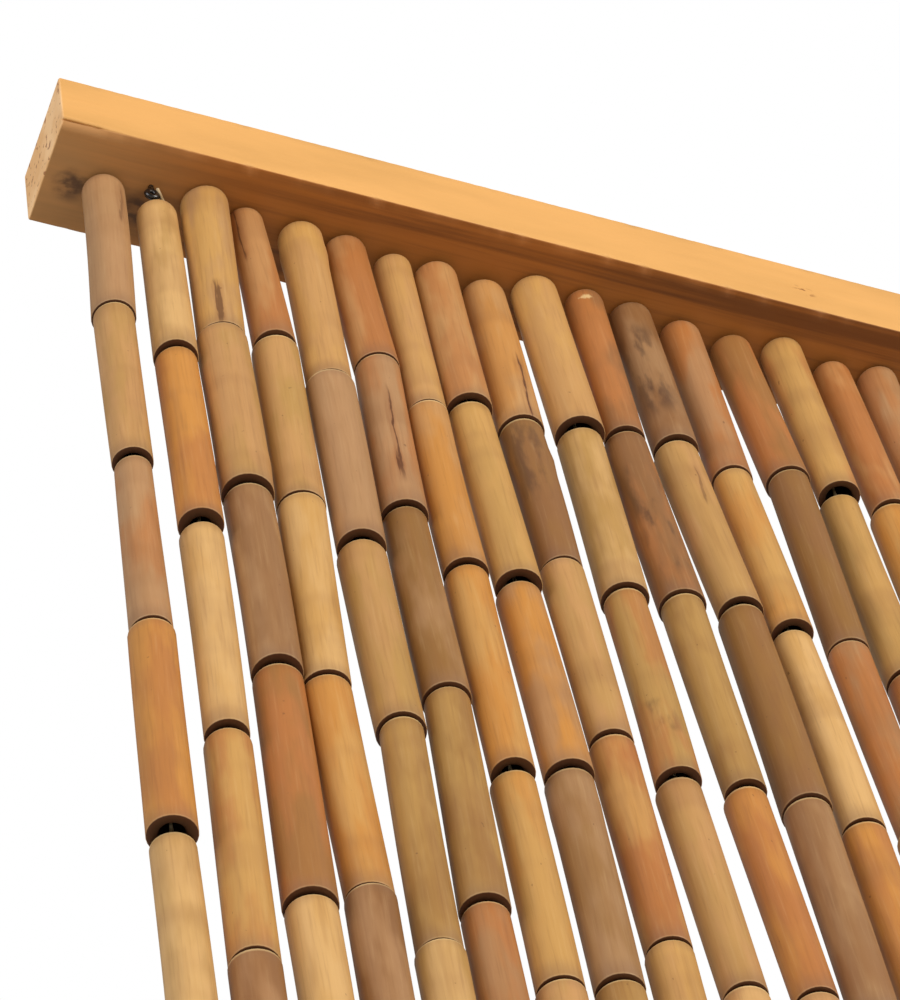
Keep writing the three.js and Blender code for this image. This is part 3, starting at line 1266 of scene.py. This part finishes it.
@dataclass
class TubeSet:
    """One joined piece of bamboo tubes."""

    name: str
    form: TubeForm
    plan: StrandPlan
    usual_radius: float = 4.3 * MM
    wall_thickness: float = 2.1 * MM
    wall_spread: float = 0.15
    oval: float = 0.02
    ripple: float = 0.006
    bow: float = 0.3 * MM
    node_swell: float = 0.3 * MM
    node_length: float = 1.6 * MM
    node_places: tuple = (0.12, 0.88)
    node_free: float = 0.9
    pattern_spread: float = 3.0
    crisp_rim: float = 0.3
    crisp_spread: float = 0.5

    def surface(self, chosen: np.ndarray) -> tuple:
        """Points of the chosen tubes and what their material reads.

        A point is the axis between the tube's two ends, bowed by half a sine wave, plus the
        radius round it. The radius is the bore's plus a share of the wall; the skin's radius
        tapers, swells at a node and is a little oval. The top rim of a strand's first tube is
        worn rounder than the others.

        Args:
            chosen: strand and tube numbers, a row for each tube.

        Returns:
            Points as tubes, section points, points round and coordinates, and then for each
            point by attribute its local place, its distances from the ends with its share of
            the wall, and its distance round from the tube's mark with that along it in
            reaches.
        """
        pick = (chosen[:, 0], chosen[:, 1])
        draws = Draw.FORMS.start().random((8, *self.plan.tops.shape[:2]))
        draw = draws[(slice(None), *pick)][:, :, None, None]
        radius = self.usual_radius * self.plan.girths()[pick][:, None, None]
        wall, depth, share, rim = (a[None, :, None] for a in self.form.section())
        crisp = np.where(pick[1] == 0, 0.0, self.crisp_rim + self.crisp_spread * draw[0, :, 0, 0])
        crisp = rim * crisp[:, None, None]
        wall = wall + crisp * (1 - wall)
        turn = circle(self.form.columns)[None, None, :]
        top = self.plan.tops[pick][:, None, None, :]
        bottom = self.plan.bottoms[pick][:, None, None, :]
        length = (top - bottom)[..., 2]
        down = depth * (1 - crisp) * MM + share * length
        along = down / length
        skin = radius + self.plan.tapers()[pick][:, None, None] * (2 * along - 1)
        node = self.node_places[0] + (self.node_places[1] - self.node_places[0]) * draw[1]
        swell = np.where(draw[2] > self.node_free, self.node_swell, 0.0)
        skin = skin + swell * np.exp(-(((along - node) * length / self.node_length) ** 2))
        skin = skin * (1 + self.oval * draw[3] * np.cos(2 * (turn - math.pi * draw[4])))
        skin = skin * (1 + self.ripple * np.sin(3 * turn + 6 * draw[5] + 5 * along))
        spread = 1 - self.wall_spread + 2 * self.wall_spread * draw[6]
        bore = radius - self.wall_thickness * spread
        reach = bore + wall * (skin - bore)
        around = np.stack(np.broadcast_arrays(np.cos(turn), np.sin(turn), 0 * turn), -1)
        lean = FULL_TURN * draw[7]
        bend = self.bow * (2 * draw[6] - 1) * np.sin(math.pi * along.clip(0, 1))
        axis = top + (bottom - top) * along[..., None]
        axis = axis + bend[..., None] * np.stack([np.cos(lean), np.sin(lean), 0 * lean], -1)
        points = axis + reach[..., None] * around
        offset = np.stack([draw[5], draw[6], draw[7]], -1) * self.pattern_spread
        place = offset + reach[..., None] * around + np.stack([0 * down, 0 * down, down], -1)
        spot = self.plan.marks()[1][pick][:, :, None, None]
        aside = (turn - spot[:, 0] + math.pi) % FULL_TURN - math.pi
        beside = (aside * radius, (along - spot[:, 1]) * length / spot[:, 2], 0 * along)
        reads = {"tube_place": np.broadcast_to(place, points.shape)}
        for name, parts in (("tube_ends", (down, length - down, wall)), ("mark_place", beside)):
            whole = [np.broadcast_to(part, points.shape[:3]) for part in parts]
            reads[name] = np.stack(whole, -1)
        return points, reads

    def build(self, chosen: np.ndarray, material: bpy.types.Material) -> bpy.types.Object:
        """Makes the piece and dresses it.

        Args:
            chosen: strand and tube numbers, a row for each tube.
            material: the bamboo's finish.

        Returns:
            The piece.
        """
        points, reads = self.surface(chosen)
        tubes, rows, columns, _ = points.shape
        start = (np.arange(tubes) * rows * columns)[:, None, None]
        quads = (grid_faces(rows, columns, True)[None] + start).reshape(-1, 4)
        piece = build_mesh(self.name, points.reshape(-1, 3), quads)
        for name, values in reads.items():
            set_attribute(piece, name, "FLOAT_VECTOR", values)
        main, second = self.plan.tones()
        for name, kind, values in (
            ("skin_tone", "FLOAT_COLOR", main),
            ("patch_tone", "FLOAT_COLOR", second),
            ("mark_strengths", "FLOAT_VECTOR", self.plan.marks()[0]),
        ):
            values = values[chosen[:, 0], chosen[:, 1]]
            set_attribute(piece, name, kind, np.repeat(values, rows * columns, 0))
        dress(piece, material, "bamboo_strands")
        return piece


@dataclass
class StrandCurtain:
    """All the tubes: a fine set where the eye comes close, and coarser ones elsewhere."""

    plan: StrandPlan
    fine_strands: int = 17
    fine_tubes: int = 6
    pieces: int = 4
    fine: TubeForm = TubeForm(28, (0.06, 0.14, 0.24, 0.36, 0.5, 0.62, 0.74, 0.84, 0.92), 4, 2)
    plain: TubeForm = TubeForm(10, (), 1, 1)

    def build(self, finish: BambooSkin) -> list:
        """Makes the joined pieces of tubes.

        Args:
            finish: the bamboo's finish.

        Returns:
            The pieces.
        """
        material = finish.material()
        count, tubes = self.plan.strand_count, self.plan.tubes_a_strand
        strand, tube = np.divmod(np.arange(count * tubes), tubes)
        near = (strand < self.fine_strands) & (tube < self.fine_tubes)
        number = np.stack([strand, tube], -1)
        corner = TubeSet("bamboo_tubes_corner", self.fine, self.plan)
        made = [corner.build(number[near], material)]
        block = strand * self.pieces // count
        for part in range(self.pieces):
            rest = TubeSet(f"bamboo_tubes_{part + 1}", self.plain, self.plan)
            made.append(rest.build(number[~near & (block == part)], material))
        return made


@dataclass
class WireEyes:
    """The row of small wire eyes, screwed into the bar's underside."""

    plan: StrandPlan
    wire_radius: float = 0.65 * MM
    eye_radius: float = 1.1 * MM
    shank: float = 1.9 * MM
    shank_in_bar: float = 0.6 * MM
    eye_turns: tuple = (0.5, 2.45)
    rings: int = 18
    columns: int = 6

    def surface(self) -> np.ndarray:
        """Rings of all the eyes.

        The path goes down the shank and once round a circle in the plane of the bar's front;
        a ring stands square to it.

        Returns:
            Eyes, rings, points of a ring and three coordinates.
        """
        turn = np.linspace(*self.eye_turns, self.rings - 1) * math.pi
        loop = np.stack([np.cos(turn), np.sin(turn)], -1) * self.eye_radius
        centre = np.array([0, -self.shank - self.eye_radius])
        path = np.concatenate([[[0, self.shank_in_bar]], loop + centre])
        step = np.gradient(path, axis=0)
        step /= np.linalg.norm(step, axis=1, keepdims=True)
        across = np.stack([step[:, 1], np.zeros(len(path)), -step[:, 0]], -1)
        spin = circle(self.columns)[None, :, None]
        ring = across[:, None] * np.cos(spin) + np.array([0, 1.0, 0]) * np.sin(spin)
        middle = np.stack([path[:, 0], np.zeros(len(path)), path[:, 1]], -1)
        eye = middle[:, None] + ring * self.wire_radius
        return eye[None] + self.plan.eye_places()[:, None, None, :]

    def build(self, finish: LacqueredWire) -> bpy.types.Object:
        """Makes the eyes and dresses them.

        Args:
            finish: the wire's finish.

        Returns:
            The piece.
        """
        piece = build_mesh("wire_eyes", *swept_tubes(self.surface()))
        dress(piece, finish.material(), "bamboo_strands")
        return piece


@dataclass
class StrandCords:
    """The cord down the middle of each strand, with a knot under its last tube."""

    plan: StrandPlan
    cord_radius: float = 0.4 * MM
    from_eye: tuple = (1.1 * MM, -0.75 * MM, -1.6 * MM)
    below_mouth: float = 0.5 * MM
    columns: int = 5
    knot_radius: float = 1.9 * MM
    knot_bulge: float = 0.13
    tail: float = 3.0 * MM
    tail_flare: float = 1.3
    knot_rows: int = 7
    knot_columns: int = 10

    def cord_rings(self) -> np.ndarray:
        """Rings of the cords, level circles at the eye, the mouth, the joints and the knot.

        Returns:
            Cords, rings, points of a ring and three coordinates.
        """
        joints = (self.plan.bottoms[:, :-1] + self.plan.tops[:, 1:]) / 2
        eye = self.plan.eye_places()[:, None] + np.array(self.from_eye)
        mouth = self.plan.mouth_places()[:, None]
        mouth[..., 2] = np.minimum(mouth[..., 2], eye[..., 2]) - self.below_mouth
        end = self.plan.bottoms[:, -1:].copy()
        end[..., 2] -= self.knot_radius
        path = np.concatenate([eye, mouth, joints, end], 1)
        spin = circle(self.columns)
        ring = np.stack([np.cos(spin), np.sin(spin), 0 * spin], -1) * self.cord_radius
        return path[:, :, None, :] + ring[None, None, ::-1]

    def knot_rings(self) -> np.ndarray:
        """Rings of the knots: a round knot with three slanting bulges and a short tail.

        The radius is that of a ball at the top, and shrinks to the cord's in the tail.

        Returns:
            Knots, rings, points of a ring and three coordinates.
        """
        height = np.linspace(-1, 1, self.knot_rows)
        ball = np.sqrt(np.clip(1.08 - height**2, 0.05, 1)) * self.knot_radius
        radius = np.append(ball, [self.cord_radius, self.cord_radius * self.tail_flare])
        tail = [2.2 * self.knot_radius, 2 * self.knot_radius + self.tail]
        down = np.append((height + 1) * self.knot_radius, tail)[:, None]
        spin = circle(self.knot_columns)
        bulge = 1 + self.knot_bulge * np.sin(3 * spin[None, :] + down / self.knot_radius * 1.8)
        reach = radius[:, None] * bulge
        knot = [reach * np.cos(spin), reach * np.sin(spin), np.broadcast_to(-down, reach.shape)]
        knot = np.stack(knot, -1)[:, ::-1]
        return self.plan.bottoms[:, -1][:, None, None, :] + knot[None]

    def build(self, finish: TwistedCord) -> list:
        """Makes the cords and the knots and dresses them.

        Args:
            finish: the cord's finish.

        Returns:
            The pieces.
        """
        material = finish.material()
        made = []
        for name, rings in (("strand_cords", self.cord_rings()), ("end_knots", self.knot_rings())):
            made.append(build_mesh(name, *swept_tubes(rings)))
            dress(made[-1], material, "bamboo_strands")
        return made


@dataclass(frozen=True)
class StudioFloor:
    """Pale matt floor with faint, slow clouds."""

    colour: str = "E4E2DE"
    cloud: str = "EAE8E5"
    cloud_mm: float = 400.0
    roughness: float = 0.8
    sheen_level: float = 0.5

    def material(self) -> bpy.types.Material:
        """Builds the node tree.

        Returns:
            The material, which reads Object coordinates.
        """
        paint = Paint("pale_studio_floor")
        cloud = paint.noise((1, 1, 1), self.cloud_mm)
        paint.colour = paint.blend(cloud, self.colour, self.cloud)
        return paint.finish(self.roughness, self.sheen_level)


@dataclass
class Studio:
    """Pale floor, soft light, and the camera below the curtain's left end.

    A softbox is a name, its place, the point it looks at, its side in metres, its power in
    watts and its sRGB hex colour.
    """

    image_height: float = 1000.0
    focal_pixels: float = 4164.0
    sensor_mm: float = 36.0
    camera_place: tuple = (-0.6011, -0.3854, -0.7616)
    camera_forward: tuple = (0.2869, 0.4874, 0.8247)
    camera_right: tuple = (0.9329, -0.3379, -0.1248)
    clip_range: tuple = (0.01, 50)
    floor_z: float = -2.04
    floor_half: float = 6.0
    backdrop: str = "FFFFFF"
    ambient: str = "F4F1EC"
    ambient_strength: float = 0.36
    softboxes: tuple = (
        ("key_softbox", (1.3, -2.7, 0.1), (-0.2, 0, -0.3), 1.5, 88, "FFF8EE"),
        ("fill_softbox", (-2.4, -1.3, -0.2), (-0.3, 0, -0.3), 1.8, 40, "FBFAFF"),
        ("back_softbox", (0.3, 2.6, 0.2), (0, 0, -0.9), 2.2, 8, "FFFFFF"),
    )

    def camera(self) -> None:
        """Places the camera by its forward and right directions."""
        data = bpy.data.cameras.new("photo_camera")
        data.sensor_fit = "VERTICAL"
        data.sensor_height = self.sensor_mm
        data.lens = self.focal_pixels / self.image_height * self.sensor_mm
        data.clip_start, data.clip_end = self.clip_range
        back = -Vector(self.camera_forward).normalized()
        right = Vector(self.camera_right)
        right = (right - right.dot(back) * back).normalized()
        turn = Matrix((right, back.cross(right), back)).transposed().to_4x4()
        camera = bpy.data.objects.new("photo_camera", data)
        camera.matrix_world = Matrix.Translation(self.camera_place) @ turn
        bpy.context.scene.collection.objects.link(camera)
        bpy.context.scene.camera = camera

    def floor(self, finish: StudioFloor) -> None:
        """Lays the pale floor under the curtain.

        Args:
            finish: the floor's finish.
        """
        side = np.array([(-1, -1), (1, -1), (1, 1), (-1, 1)], float) * self.floor_half
        points = np.column_stack([side, np.full(4, self.floor_z)])
        floor = build_mesh("studio_floor", points, np.array([[0, 1, 2, 3]]))
        floor.data.materials.append(finish.material())

    def lights(self) -> None:
        """Hangs the square soft lights."""
        for name, place, aim, side, power, colour in self.softboxes:
            data = bpy.data.lights.new(name, "AREA")
            data.size = side
            data.energy = power
            data.color = linear(colour)[:3]
            light = bpy.data.objects.new(name, data)
            light.location = place
            way = Vector(aim) - Vector(place)
            light.rotation_euler = way.to_track_quat("-Z", "Y").to_euler()
            bpy.context.scene.collection.objects.link(light)

    def world(self) -> None:
        """Sets white for the camera, and a softer light around the object."""
        world = bpy.data.worlds.new("studio_world")
        world.use_nodes = True
        tree = world.node_tree
        tree.nodes.clear()
        settings = {0: add_node(tree, "ShaderNodeLightPath", {}).outputs["Is Camera Ray"]}
        skies = ((self.ambient, self.ambient_strength), (self.backdrop, 1.0))
        for index, (colour, strength) in enumerate(skies, 1):
            sky = {"Color": linear(colour), "Strength": strength}
            settings[index] = add_node(tree, "ShaderNodeBackground", sky).outputs[0]
        mix = add_node(tree, "ShaderNodeMixShader", settings)
        add_node(tree, "ShaderNodeOutputWorld", {"Surface": mix.outputs[0]})
        bpy.context.scene.world = world

    def build(self) -> None:
        """Sets up camera, floor, lights and the picture's colours."""
        self.camera()
        self.floor(StudioFloor())
        self.world()
        self.lights()
        scene = bpy.context.scene
        scene.view_settings.view_transform = "Standard"
        scene.view_settings.look = "None"


def main() -> None:
    """Builds the curtain piece by piece."""
    logging.basicConfig(level=logging.INFO, format="%(name)s: %(message)s")
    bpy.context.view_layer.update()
    Studio().build()
    plan = StrandPlan()
    made = [HeaderBar().build(VarnishedBatten())]
    made.extend(StrandCurtain(plan).build(BambooSkin()))
    made.append(WireEyes(plan).build(LacqueredWire()))
    made.extend(StrandCords(plan).build(TwistedCord()))
    for piece in made:
        log.info("%s has %d faces", piece.name, len(piece.data.polygons))
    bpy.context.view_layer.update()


if __name__ == "__main__":
    main()
